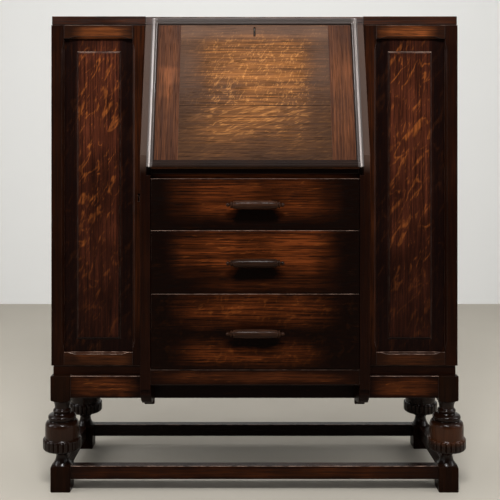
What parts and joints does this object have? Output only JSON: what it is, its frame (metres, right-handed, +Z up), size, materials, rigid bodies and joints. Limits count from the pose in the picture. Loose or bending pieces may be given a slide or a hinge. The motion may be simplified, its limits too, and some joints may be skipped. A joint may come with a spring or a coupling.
{
  "type": "writing bureau",
  "caption": "Sloping-fall writing bureau over graduated drawers, between narrow panelled cupboards, on a stand with bulbous turned legs and low stretchers.",
  "frame": {"origin": "on the floor, in the middle of the ground that the bureau covers, knobs and legs included", "axes": "+Z up, the front with the fall, drawers and doors faces -Y, +X to the right as one sits at it"},
  "size_m": [1.045, 0.495, 1.168],
  "materials": {
    "stand_oak": "satin polished dark oak",
    "case_oak": "satin polished dark oak",
    "fall_oak": "satin polished oak, shaded dark at the edges",
    "drawer_oak": "satin polished oak, shaded dark at the edges",
    "handle_oak": "satin polished dark oak",
    "door_oak": "satin polished dark oak",
    "panel_oak": "satin polished quartered oak",
    "inner_wood": "thin matt stain",
    "back_board": "unpolished plywood",
    "brass": "dull brass",
    "lock_iron": "dull iron"
  },
  "bodies": {
    "case": {"legs_front": "stand_oak", "legs_rear": "stand_oak", "apron_front": "stand_oak", "apron_rear": "stand_oak", "apron_sides": "stand_oak", "stretcher_front": "stand_oak", "stretcher_rear": "stand_oak", "stretcher_sides": "stand_oak", "side_brackets": "stand_oak", "top_board": "case_oak", "bottom_board": "case_oak", "case_side_left": "case_oak", "case_side_right": "case_oak", "bureau_side_left": "case_oak", "bureau_side_right": "case_oak", "back_panels": "back_board", "cupboard_shelves": "inner_wood", "writing_bed": "case_oak", "drawer_rails": "case_oak", "drawer_runners": "inner_wood", "bottom_rail": "case_oak", "case_hinge_leaves": "brass", "bed_hinge_leaves": "brass", "stay_studs": "brass", "pigeonhole_case": "inner_wood", "pigeonhole_dividers": "inner_wood"},
    "fall": {"fall_panel": "fall_oak", "fall_cleat_left": "fall_oak", "fall_cleat_right": "fall_oak", "fall_moulding": "fall_oak", "fall_lock": "brass", "fall_hinge_leaves": "brass", "stay_brackets": "brass"},
    "stay_left": {"stay_left": "brass"},
    "stay_right": {"stay_right": "brass"},
    "drawer_1": {"drawer_1_front": "drawer_oak", "drawer_1_box": "inner_wood", "drawer_1_bottom": "inner_wood", "drawer_1_handle": "handle_oak"},
    "drawer_2": {"drawer_2_front": "drawer_oak", "drawer_2_box": "inner_wood", "drawer_2_bottom": "inner_wood", "drawer_2_handle": "handle_oak"},
    "drawer_3": {"drawer_3_front": "drawer_oak", "drawer_3_box": "inner_wood", "drawer_3_bottom": "inner_wood", "drawer_3_handle": "handle_oak"},
    "door_left": {"door_left_stiles": "door_oak", "door_left_rails": "door_oak", "door_left_panel": "panel_oak", "door_left_lock": "lock_iron", "door_left_hinge_leaves": "brass"},
    "door_right": {"door_right_stiles": "door_oak", "door_right_rails": "door_oak", "door_right_panel": "panel_oak", "door_right_hinge_leaves": "brass"},
    "inner_drawer": {"inner_drawer": "inner_wood"}
  },
  "joints": [
    {"name": "fall_hinge", "type": "hinge", "parent": "case", "child": "fall", "pos_m": [0, -0.2086, 0.801], "axis": [1, 0, 0], "range_deg": [0, 108.4]},
    {"name": "stay_left_pivot", "type": "hinge", "parent": "fall", "child": "stay_left", "pos_m": [-0.24, -0.16464, 0.90757], "axis": [1, 0, 0], "range_deg": [-54.5, 0]},
    {"name": "stay_right_pivot", "type": "hinge", "parent": "fall", "child": "stay_right", "pos_m": [0.24, -0.16464, 0.90757], "axis": [1, 0, 0], "range_deg": [-54.5, 0]},
    {"name": "drawer_1_slide", "type": "slide", "parent": "case", "child": "drawer_1", "axis": [0, -1, 0], "range_m": [0, 0.3]},
    {"name": "drawer_2_slide", "type": "slide", "parent": "case", "child": "drawer_2", "axis": [0, -1, 0], "range_m": [0, 0.3]},
    {"name": "drawer_3_slide", "type": "slide", "parent": "case", "child": "drawer_3", "axis": [0, -1, 0], "range_m": [0, 0.3]},
    {"name": "door_left_hinge", "type": "hinge", "parent": "case", "child": "door_left", "pos_m": [-0.5, -0.08753, 0.727], "axis": [0, 0, -1], "range_deg": [0, 170]},
    {"name": "door_right_hinge", "type": "hinge", "parent": "case", "child": "door_right", "pos_m": [0.5, -0.08753, 0.727], "axis": [0, 0, 1], "range_deg": [0, 170]},
    {"name": "inner_drawer_slide", "type": "slide", "parent": "case", "child": "inner_drawer", "axis": [0, -1, 0], "range_m": [0, 0.12]}
  ],
  "couplings": [
    {"joint": "stay_left_pivot", "follows": "fall_hinge", "ratio": -0.5},
    {"joint": "stay_right_pivot", "follows": "fall_hinge", "ratio": -0.5}
  ]
}
